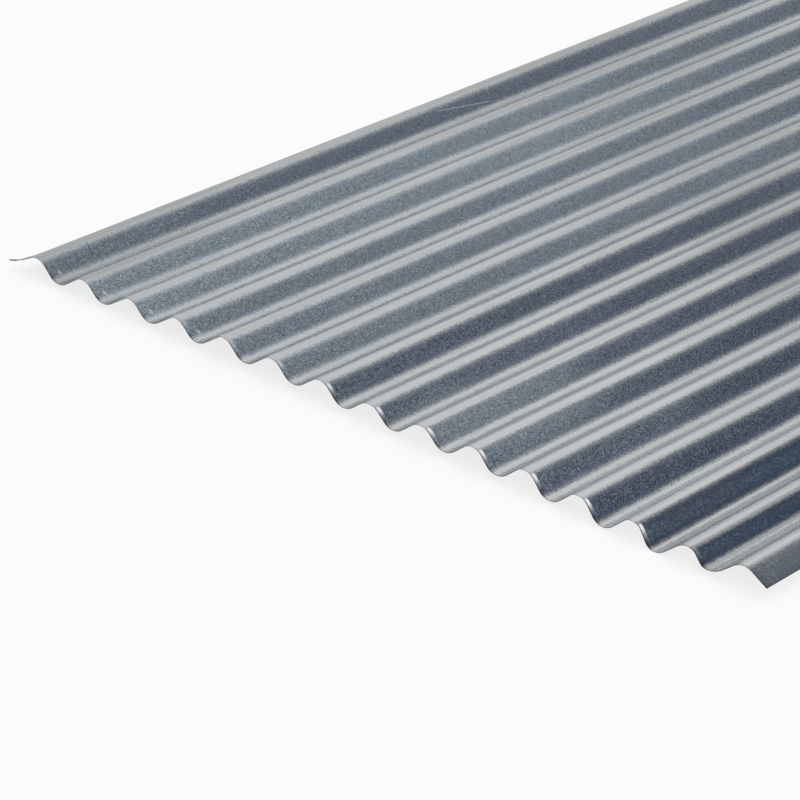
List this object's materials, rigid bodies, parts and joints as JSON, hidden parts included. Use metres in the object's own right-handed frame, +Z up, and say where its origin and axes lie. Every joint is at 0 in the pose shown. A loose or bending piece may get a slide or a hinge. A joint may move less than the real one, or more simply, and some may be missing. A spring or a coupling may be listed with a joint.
{
  "type": "corrugated metal sheet",
  "caption": "Rectangular sheet of galvanised steel roll-formed into even rounded waves, with an underlap edge and an overlap edge, for roofing, cladding and fencing.",
  "frame": {"origin": "on the floor under the middle of the sheet's overall length and width", "axes": "+Y along the waves, +X across them from the underlap edge to the overlap edge, +Z up"},
  "size_m": [1.124, 2, 0.0207],
  "materials": {
    "galvanised_steel": "satin"
  },
  "bodies": {
    "root": {"corrugated_sheet": "galvanised_steel"}
  },
  "joints": []
}
